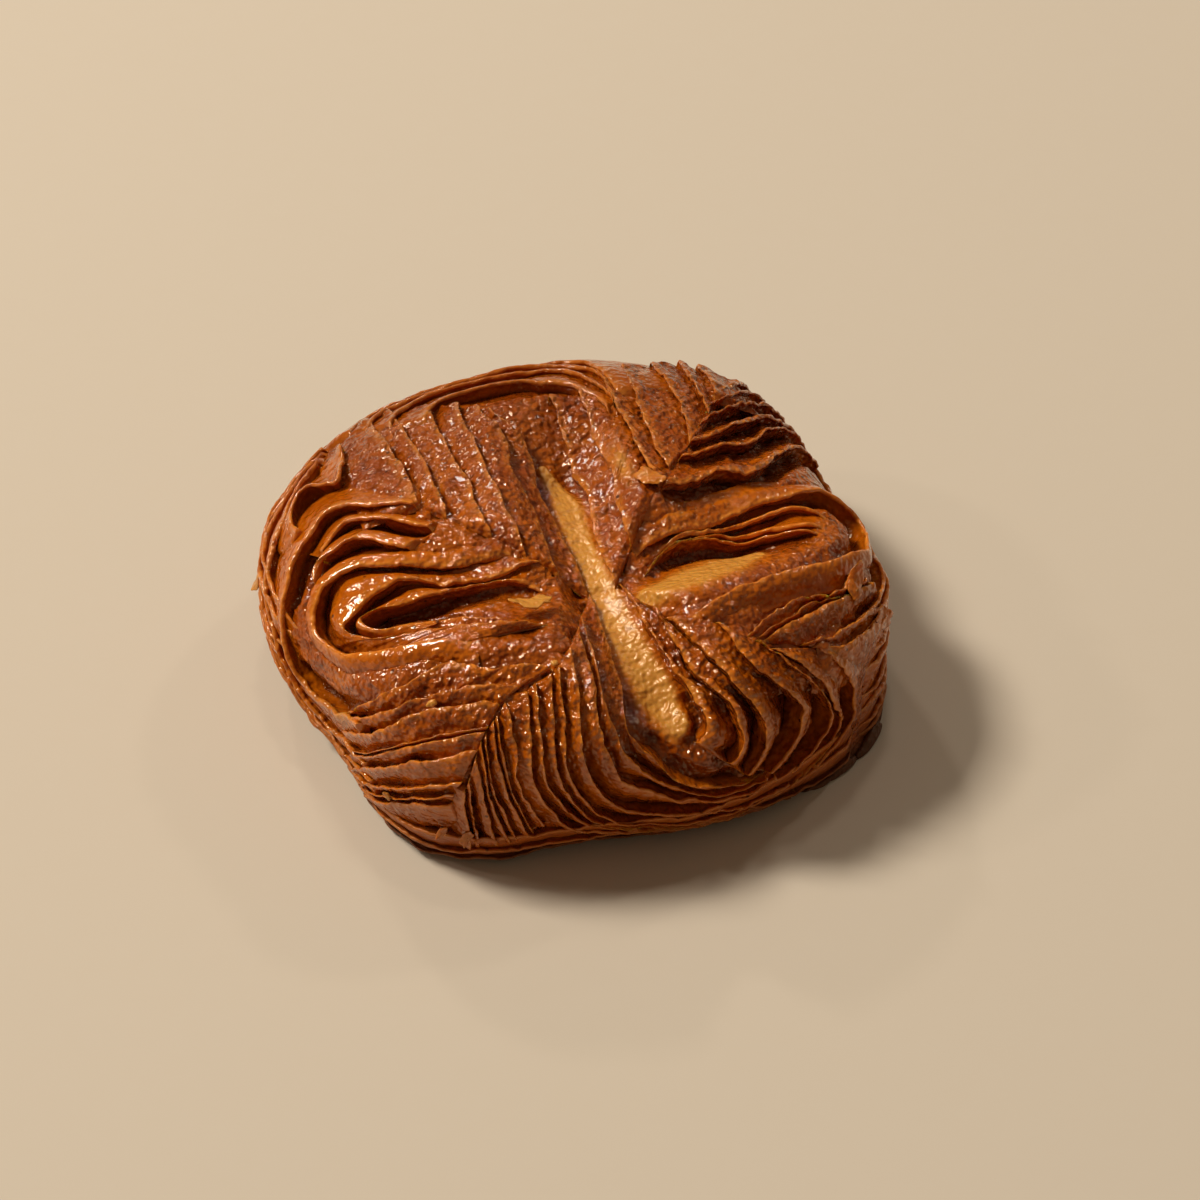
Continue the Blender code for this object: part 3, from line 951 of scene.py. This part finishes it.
@dataclass
class Leaves:
    """The leaves of one fold, as closed sheets with their own thickness."""

    form: Form
    valley: Valley
    fold: Fold
    lip_radius: float = 0.22
    swelling: float = 1.7  # times the radius, where the leaves are glazed
    top_rows: int = 11
    lip_rows: int = 6
    wall_rows: tuple[float, ...] = (0.35, 0.75, 1.0)  # shares of the way down the wall
    overlap: float = 0.8  # how far a leaf runs on under the next one
    settled: float = 1.9  # the lift is gone at one in this many parts of the way to the next leaf
    wall_lean: Point = (0.15, 0.35, 1.5)  # mm, mm more for each mm of the crevice, and to what depth
    wall_foot: float = 0.5  # how far the wall runs on under the crevice
    belly: Point = (1.6, 1.2)  # how far the underside lies below the crevices: half way, at the back
    radius_swells: Point = (2.0, 0.35)  # pitch and height, as a share of the radius
    # Of an edge's slow waves and quick tears: pitch, height as a share of the room, and most in mm.
    slow: Point = (7.0, 0.30, 0.55)
    quick: Point = (1.5, 0.16, 0.30)
    # Pitch and height of the sugar's lumps, and of the swells of the whole leaf.
    lumps: Point = (1.1, 0.30)
    swells: Point = (5.0, 0.15)
    apart: float = 6.0  # between leaves in a third direction, so that each is uneven in its own way
    # Soft golden spots that the sugar has not browned: the middle, and the reach along X and Y.
    pale_spots: tuple[tuple[float, float, float, float], ...] = (
        (15.0, -17.0, 12.0, 4.5), (-44.0, -18.0, 8.0, 10.0), (14.0, -4.0, 6.0, 3.0), (8.0, -36.0, 4.0, 7.0),
        (9.5, 6.0, 2.5, 9.0),
    )
    places: Array = field(init=False)  # where the unevenness of the edges is looked up
    edges: Array = field(init=False)  # of the leaves, and where the last one's top ends
    depth: Array = field(init=False)  # of the crevice under each edge
    lift: Array = field(init=False)  # of the edge over the form
    shown: Array = field(init=False)  # how far the leaf is out of the dough, from 0 to 1

    def __post_init__(self) -> None:
        """Work out the edges, the depth of the crevices and the lifts."""
        lines = self.fold.lines(self.form)
        steps = np.linalg.norm(np.diff(lines, axis=1), axis=-1).cumsum(1)
        along = np.concatenate([np.zeros((len(lines), 1)), steps], 1)
        tangent = np.gradient(lines, axis=1)
        side = np.stack([-tangent[..., 1], tangent[..., 0]], -1)
        side /= np.maximum(np.linalg.norm(side, axis=-1, keepdims=True), 1e-6)
        from_crossing = lines - np.array(self.valley.crossing)
        outward = side * np.sign((side * from_crossing).sum((-1, -2)))[:, None, None]
        third = np.arange(len(lines))[:, None, None] * self.apart
        self.places = np.concatenate([lines, np.broadcast_to(third, lines.shape[:2] + (1,))], -1)
        seed = self.fold.seed()
        room = np.full(lines.shape[:2], 2.0)
        if len(lines) > 1:
            gap = np.linalg.norm(np.diff(lines, axis=0), axis=-1)
            room = np.minimum(np.concatenate([gap, gap[-1:]]), np.concatenate([gap[:1], gap]))
        pitch, share, most = self.slow
        slow = Lattice(seed).rough(self.places, pitch, 2) * np.minimum(share * room, most)
        pitch, share, most = self.quick
        quick = Lattice(seed + 1).rough(self.places, pitch, 3) * np.minimum(share * room, most)
        lines = lines + outward * (slow + quick * self.fold.ragged)[..., None]
        self.edges = np.concatenate([lines, lines[-1:] + outward[-1:] * self.fold.tail])
        part = along / along[:, -1:]
        stops = np.linspace(0.0, 1.0, len(self.fold.crevice))
        uneven = Lattice(seed + 2).rough(self.places, 5.0, 2)
        self.depth = np.maximum(np.interp(part, stops, self.fold.crevice) * (1 + 0.45 * uneven), 0.05)
        uneven = Lattice(seed + 3).rough(self.places, 4.0, 3)
        self.lift = np.maximum(self.fold.lift * (1 + 0.7 * uneven), 0.0)
        to_end = along[:, -1:] - along
        self.shown = smooth(along / self.fold.fade[0]) * smooth(to_end / self.fold.fade[1])

    def sheets(self) -> tuple[Array, Array, dict[str, Array]]:
        """Return the points, the quads and the attributes' values of all the leaves."""
        parts = [self._sheet(number) for number in range(len(self.depth))]
        rows, columns = parts[0][0].shape[:2]
        one = sheet_faces(rows, columns)
        faces = np.concatenate([one + number * rows * columns for number in range(len(parts))])
        points = np.concatenate([part[0].reshape(-1, 3) for part in parts])
        values = {key: np.concatenate([part[1][key].ravel() for part in parts]) for key in parts[0][1]}
        return points, faces, values

    def _profile(self, number: int, gap: Array) -> tuple[Array, Array, Array]:
        """Work out a leaf's profile, along its top, round its edge, down its wall and back underneath.

        With s the share of the way to the next leaf, the top falls from the lift at the edge to the
        next leaf's crevice as smooth((s - level) / (1 - level)) ** (0.5 + 2 level). The edge is half
        a circle, and the wall leans out a little under it.

        Args:
            number: which leaf of the fold.
            gap: how far the next leaf's edge is, for each column.

        Returns:
            Three (rows, columns) arrays: the distance out from the edge, the height, and how much
            painted shade it gets for lying deep in a crevice, from 0 to 1.
        """
        fold = self.fold
        inner, lift = self.depth[number], self.lift[number]
        outer = np.full(len(gap), fold.tail_depth)
        if number + 1 < len(self.depth):
            outer = self.depth[number + 1] * self.shown[number + 1]
        thick = self.swelling if fold.surface is Surface.GLAZED else 1.0
        pitch, swell = self.radius_swells
        swelled = 1 + swell * Lattice(fold.seed() + 4)(self.places[number], pitch)
        radius = self.lip_radius * thick * swelled
        run = np.linspace(1.0, 0.0, self.top_rows)[:, None]
        top_out = radius + run * (gap + self.overlap - radius)
        share = np.clip(top_out / gap, 0.0, 1.2)
        fall = smooth((share - fold.level) / (1.03 - fold.level)) ** (0.5 + 2 * fold.level)
        tucked = 0.2 * np.maximum(top_out - gap, 0)
        top_height = lift * (1 - smooth(share * self.settled)) - outer * fall - tucked
        turn = np.linspace(0.5, 1.5, self.lip_rows + 1)[1:, None] * math.pi
        lip_out = radius + radius * np.cos(turn)
        lip_height = lift - radius + radius * np.sin(turn)
        down = np.array(self.wall_rows)[:, None]
        least, more, most = self.wall_lean
        wall_out = radius + (least + more * np.minimum(inner, most)) * down
        wall_height = lift - 2 * radius - (np.maximum(inner, 0.1) + self.wall_foot + lift) * down
        deepest = np.maximum(np.maximum(inner, outer), 0.2)
        back_out = np.stack([gap * 0.5 + 0.3, gap + self.overlap])
        back_height = np.stack([-deepest - self.belly[0], -outer - self.belly[1]])
        # Painted shade: the top darkens as it falls into the next leaf's crevice, the wall as it goes down
        # into its own, and the underside wholly.
        top_painted_shade = fall * np.minimum((outer + 0.2) / 2.4, 1.0)
        wall_painted_shade = down * np.minimum(inner / 1.2, 1.0)
        out = np.concatenate([top_out, lip_out, wall_out, back_out])
        height = np.concatenate([top_height, lip_height, wall_height, back_height])
        dark = np.concatenate([top_painted_shade, np.zeros_like(lip_out), wall_painted_shade, np.ones_like(back_out)])
        return out, height, dark

    def _sheet(self, number: int) -> tuple[Array, dict[str, Array]]:
        """Carry one leaf's profile along its edge: point = form(edge + across * out) + normal * height.

        Args:
            number: which leaf of the fold.

        Returns:
            (rows, columns, 3) points and the attributes' values at them.
        """
        edge, shown = self.edges[number], self.shown[number]
        across = self.edges[number + 1] - edge
        gap = np.maximum(np.linalg.norm(across, axis=-1), 0.2)
        out, height, crevice = self._profile(number, gap)
        flat = edge + (across / gap[:, None]) * out[..., None]
        distance = np.maximum(np.linalg.norm(flat, axis=-1), 1e-6)
        limit = self.form.reach(np.arctan2(flat[..., 1], flat[..., 0])) * 0.995
        flat = flat * np.minimum(1.0, limit / distance)[..., None]
        points = self.form.place(flat)
        crust = self._crust(points)
        (lump_pitch, lump_height), (swell_pitch, swell_height) = self.lumps, self.swells
        grain = Lattice(SEED + 5).rough(points, lump_pitch, 2) * lump_height * crust
        grain = grain + Lattice(SEED + 6)(points, swell_pitch) * swell_height
        total = (height + self.fold.raised + grain) * shown - (1 - shown) - self.valley.drop(flat)
        points = points + self.form.normal(flat) * total[..., None]
        points[..., 2] = np.maximum(points[..., 2], 0.15)
        # The rows round the edge, which get the painted highlight and the glaze of the lips.
        lip = np.zeros(len(out))
        first = self.top_rows - 1
        lip[first : first + self.lip_rows] = 1.0
        lip[first - 1] = 0.4
        spots = np.array(self.pale_spots)
        pale = sum(1 - smooth(np.linalg.norm((flat - spot[:2]) / spot[2:], axis=-1)) for spot in spots)
        dry = 0.5 if self.fold.surface is Surface.DRY else 0.0
        values = {
            "pale": np.clip(pale * 0.85 * (1 - crevice), 0, 1),
            "crust": crust,
            "lip": np.broadcast_to(lip[:, None], crust.shape),
            "crevice": crevice,
            "foot": np.clip(np.maximum(1.1 - points[..., 2] / 8.0, dry), 0.0, 1.0),
        }
        return points, values

    def _crust(self, points: Array) -> Array:
        """Return how sugared the leaf is at its points: most on the flat tops."""
        high = smooth((points[..., 2] - 14.0) / 14.0)
        if self.fold.surface is Surface.SUGARED:
            return 0.25 + 0.75 * high
        near = 1 - smooth((np.linalg.norm(points[..., :2] - self.valley.crossing, axis=-1) - 16.0) / 14.0)
        return 0.15 + 0.65 * near * high


@dataclass(frozen=True)
class Scrap:
    """A small torn flake or crumb that lies on the skin."""

    spot: tuple[float, float]  # on the flattened skin
    size: tuple[float, float]  # half its length and half its width
    turn: float = 0.0  # degrees about the skin's normal
    raised: float = 0.5
    curl: float = 0.3  # how far its tip stands up, as a share of half its length
    thickness: float = 0.25
    pale: float = 0.0
    burnt: float = 0.0


SCRAPS: tuple[Scrap, ...] = (
    Scrap((-10.6, -17.3), (2.8, 1.6), turn=170.0, raised=1.4, curl=0.5, thickness=0.45, pale=1.0),
    Scrap((11.8, 0.8), (2.4, 1.3), turn=-60.0, raised=0.5, curl=0.3, pale=0.6),
    Scrap((37.0, -21.5), (2.6, 1.5), turn=75.0, raised=0.3, curl=0.9),
    Scrap((43.5, -25.5), (2.6, 1.6), turn=20.0, raised=0.2, curl=0.45),
    Scrap((-34.5, -49.5), (1.8, 0.7), turn=200.0, raised=0.5, curl=0.5, pale=0.4),
    Scrap((-31.5, -51.2), (2.0, 0.6), turn=150.0, raised=0.5, curl=0.5, pale=0.2),
    Scrap((-38.5, -47.0), (1.4, 0.6), turn=190.0, raised=0.4, curl=0.5, pale=0.3),
    Scrap((-51.0, 14.0), (1.8, 1.1), turn=150.0, raised=0.3, curl=0.8, pale=0.9),
    Scrap((-28.0, -28.5), (0.7, 0.5), raised=0.5, curl=0.0, thickness=0.4, pale=0.9),
    Scrap((-10.2, -28.2), (0.5, 0.4), raised=0.5, curl=0.0, thickness=0.3, pale=0.9),
    Scrap((-44.5, -36.5), (0.9, 0.6), turn=60.0, raised=0.5, curl=0.4, thickness=0.3, pale=0.9),
    Scrap((-25.0, -14.8), (1.6, 0.5), turn=10.0, raised=0.2, curl=0.2),
    Scrap((58.0, -43.5), (6.5, 2.2), turn=53.0, raised=0.1, curl=0.05, thickness=0.8, burnt=1.0),
    Scrap((49.5, -51.0), (5.5, 1.8), turn=44.0, raised=0.1, curl=0.05, thickness=0.7, burnt=0.9),
    Scrap((44.0, -55.0), (3.5, 1.3), turn=39.0, raised=0.1, curl=0.1, thickness=0.6, burnt=0.9),
)


@dataclass
class Scraps:
    """All the torn flakes and crumbs, as small closed lenses with ragged outlines."""

    form: Form
    valley: Valley
    rows: int = 14
    columns: int = 40
    first_ring: float = 0.01  # share of the way down the lens
    torn: float = 0.28  # how ragged the outline is, as a share of its size
    bumps: float = 0.12

    def sheets(self) -> tuple[Array, Array, dict[str, Array]]:
        """Return the points, the quads and the attributes' values of all the scraps."""
        one = ring_faces(self.rows, self.columns)
        size = self.rows * self.columns
        faces = np.concatenate([one + number * size for number in range(len(SCRAPS))])
        points = np.concatenate([self._lens(scrap, number) for number, scrap in enumerate(SCRAPS)])
        each = {
            "pale": [scrap.pale for scrap in SCRAPS],
            "crust": [0.3] * len(SCRAPS),
            # A little of the painted highlight of a thin edge, and of its glaze.
            "lip": [0.3] * len(SCRAPS),
            "crevice": [0.0] * len(SCRAPS),
            "foot": [1.2 * scrap.burnt for scrap in SCRAPS],
        }
        return points, faces, {key: np.repeat(values, size) for key, values in each.items()}

    def _lens(self, scrap: Scrap, number: int) -> Array:
        """Work out one scrap.

        With s from 0 to 1 down the lens and t round it: out = sin(pi s) * ragged(t), and
        point = spot + long * out cos t + wide * out sin t + normal * (thickness cos(pi s) + curl).

        Args:
            scrap: its sizes and place.
            number: which scrap it is, for its own raggedness.

        Returns:
            (rows * columns, 3) points.
        """
        s = np.linspace(self.first_ring, 1 - self.first_ring, self.rows)[:, None]
        t = np.linspace(0.0, 2 * math.pi, self.columns, endpoint=False)[None, :]
        waves = Lattice(SEED + 20 + number)
        round_it = np.stack([np.cos(t) * 2, np.sin(t) * 2, 0 * t + number], -1)
        ragged = 1 + self.torn * waves.rough(round_it, 1.3, 3)
        out = np.sin(math.pi * s) * ragged
        angle = math.radians(scrap.turn)
        spot = np.array(scrap.spot)
        long_way, wide_way = (np.array([math.cos(a), math.sin(a)]) for a in (angle, angle + math.pi / 2))
        flat = spot + (out * np.cos(t))[..., None] * scrap.size[0] * long_way
        flat = flat + (out * np.sin(t))[..., None] * scrap.size[1] * wide_way
        tip = np.maximum(out * np.cos(t), 0.0) ** 1.5 * (0.8 + 0.4 * np.sin(t))
        stand = scrap.curl * scrap.size[0] * tip
        height = scrap.raised + scrap.thickness * np.cos(math.pi * s) + stand - self.valley.drop(flat)
        points = self.form.place(flat) + self.form.normal(flat) * height[..., None]
        points = points + self.bumps * waves(points, 1.0)[..., None]
        points[..., 2] = np.maximum(points[..., 2], 0.1)
        return points.reshape(-1, 3)


@dataclass
class Pastry:
    """The whole pastry: the core and all the folds."""

    form: Form = field(default_factory=Form)
    valley: Valley = field(default_factory=Valley)
    finish: Finish = field(default_factory=Caramel)
    # The pieces, and the folds in each.
    pieces: tuple[tuple[str, tuple[str, ...]], ...] = (
        ("leaves_left", ("left_swirl", "left_cave", "left_roll", "left_side", "curl")),
        (
            "leaves_back",
            ("back_left_ridges", "back_right_ridges", "back_right_flap", "back_rims", "back_right_fan"),
        ),
        ("leaves_right", ("right_slits", "right_roll", "right_torn", "front_right_fins")),
        ("leaves_front", ("front_left_ridges", "front_pages", "left_pages")),
        ("leaves_side", ("far_side", "front_base")),
    )
    every: int = 3  # the core's grooves follow one in this many points of the leaves' edges

    def build(self) -> list[Any]:
        """Build the pieces and return them."""
        leaves = {fold.name: Leaves(self.form, self.valley, fold) for fold in FOLDS}
        made = [self._join(name, [leaves[part] for part in parts]) for name, parts in self.pieces]
        made.append(self._join("scraps", [Scraps(self.form, self.valley)]))
        step, folds = self.every, leaves.values()
        edges = np.concatenate([fold.edges[:-1, ::step].reshape(-1, 2) for fold in folds])
        depths = np.concatenate([(fold.depth * fold.shown)[:, ::step].ravel() for fold in folds])
        return [Core(self.form, self.valley, self.finish, edges, depths).build(), *made]

    def _join(self, name: str, parts: "list[Leaves | Scraps]") -> Any:
        """Make one piece of several folds' leaves or of the scraps.

        Args:
            name: the piece's name.
            parts: what it is made of.

        Returns:
            The piece.
        """
        points, faces, values, start = [], [], [], 0
        for part in parts:
            own_points, own_faces, own_values = part.sheets()
            points.append(own_points)
            faces.append(own_faces + start)
            values.append(own_values)
            start += len(own_points)
        joined = {key: np.concatenate([one[key] for one in values]) for key in values[0]}
        frame_points = self.form.to_frame(np.concatenate(points))
        return make_mesh(name, frame_points, np.concatenate(faces), joined, self.finish)


# ---------------------------------------------------------------- the studio


@dataclass(frozen=True)
class Lamp:
    """A square area light, turned to the pastry."""

    name: str
    place: tuple[float, float, float]
    size: float
    power: float


@dataclass
class Studio:
    """A plain pale floor, soft light from behind on the left and a camera at a slant."""

    form: Form
    aim: tuple[float, float] = (7.68, 11.43)
    distance: float = 0.5136
    elevation: float = 45.0
    azimuth: float = -16.0
    lens: float = 101.7
    sensor: float = 36.0
    floor_half: float = 3.0
    floor_colour: Colour = shade(210, 195, 175)
    cloud_colour: Colour = shade(204, 184, 156)
    lamp_colour: tuple[float, float, float] = (1.0, 0.95, 0.86)
    sky_colour: Colour = (1.0, 0.80, 0.58, 1.0)
    sky_strength: float = 0.15
    # A soft key from behind on the left, and small lights that the glaze glints with.
    lamps: tuple[Lamp, ...] = (
        Lamp("key", (-1.20, 0.84, 1.76), 0.50, 45.0),
        Lamp("glint_back", (-0.10, 0.85, 0.65), 0.07, 1.0),
        Lamp("glint_right", (0.72, 0.42, 0.80), 0.07, 0.8),
        Lamp("glint_left", (-0.80, 0.30, 0.60), 0.07, 0.7),
        Lamp("glint_top", (0.10, 0.30, 1.10), 0.09, 0.8),
    )

    def build(self) -> None:
        """Make the floor, the lamps, the sky and the camera."""
        self._floor()
        for lamp in self.lamps:
            self._lamp(lamp)
        self._sky()
        self._camera()

    def _floor(self) -> None:
        """Make the floor, a matt square."""
        graph = Graph("plain_floor")
        colour = graph.blend(graph.noise(0.004, 4.0) * 0.12, self.floor_colour, self.cloud_colour)
        mesh = bpy.data.meshes.new("floor")
        half = self.floor_half
        corners = [(-half, -half, 0), (half, -half, 0), (half, half, 0), (-half, half, 0)]
        mesh.from_pydata(corners, [], [(0, 1, 2, 3)])
        mesh.materials.append(graph.finish({"Base Color": colour, "Roughness": 0.9}))
        floor = bpy.data.objects.new("floor", mesh)
        bpy.context.scene.collection.objects.link(floor)

    def _lamp(self, lamp: Lamp) -> None:
        """Make one lamp."""
        light = bpy.data.lights.new(lamp.name, "AREA")
        light.size = lamp.size
        light.energy = lamp.power
        light.color = self.lamp_colour
        holder = bpy.data.objects.new(lamp.name, light)
        holder.matrix_world = facing(np.array(lamp.place), np.zeros(3))
        bpy.context.scene.collection.objects.link(holder)

    def _sky(self) -> None:
        """Make the weak even light that comes from all round."""
        world = bpy.data.worlds.new("studio")
        bpy.context.scene.world = world
        world.use_nodes = True
        background = world.node_tree.nodes["Background"]
        background.inputs["Color"].default_value = self.sky_colour
        background.inputs["Strength"].default_value = self.sky_strength

    def _camera(self) -> None:
        """Make the camera."""
        rise, turn = math.radians(self.elevation), math.radians(self.azimuth)
        back = np.array([math.sin(turn) * math.cos(rise), -math.cos(turn) * math.cos(rise), math.sin(rise)])
        aim = self.form.to_frame(np.array([*self.aim, 0.0]))
        data = bpy.data.cameras.new("camera")
        data.lens = self.lens
        data.sensor_width = self.sensor
        camera = bpy.data.objects.new("camera", data)
        camera.matrix_world = facing(aim + back * self.distance, aim)
        bpy.context.scene.collection.objects.link(camera)
        bpy.context.scene.camera = camera


def facing(place: Array, target: Array) -> Any:
    """Return the matrix of something at a place that looks at a target, its top up."""
    back = (place - target) / np.linalg.norm(place - target)
    right = np.cross([0.0, 0.0, 1.0], back)
    right /= np.linalg.norm(right)
    matrix = np.eye(4)
    matrix[:3, 0], matrix[:3, 1], matrix[:3, 2], matrix[:3, 3] = right, np.cross(back, right), back, place
    return Matrix(matrix.tolist())


def main() -> None:
    """Build the pastry and its studio in order."""
    logging.basicConfig(level=logging.INFO, format="%(name)s %(message)s")
    pastry = Pastry()
    for piece in pastry.build():
        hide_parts(NODE)
        LOG.info("%s: %d points, %d faces", piece.name, len(piece.data.vertices), len(piece.data.polygons))
    Studio(pastry.form).build()
    bpy.context.scene.view_settings.view_transform = "Standard"


if __name__ == "__main__":
    main()
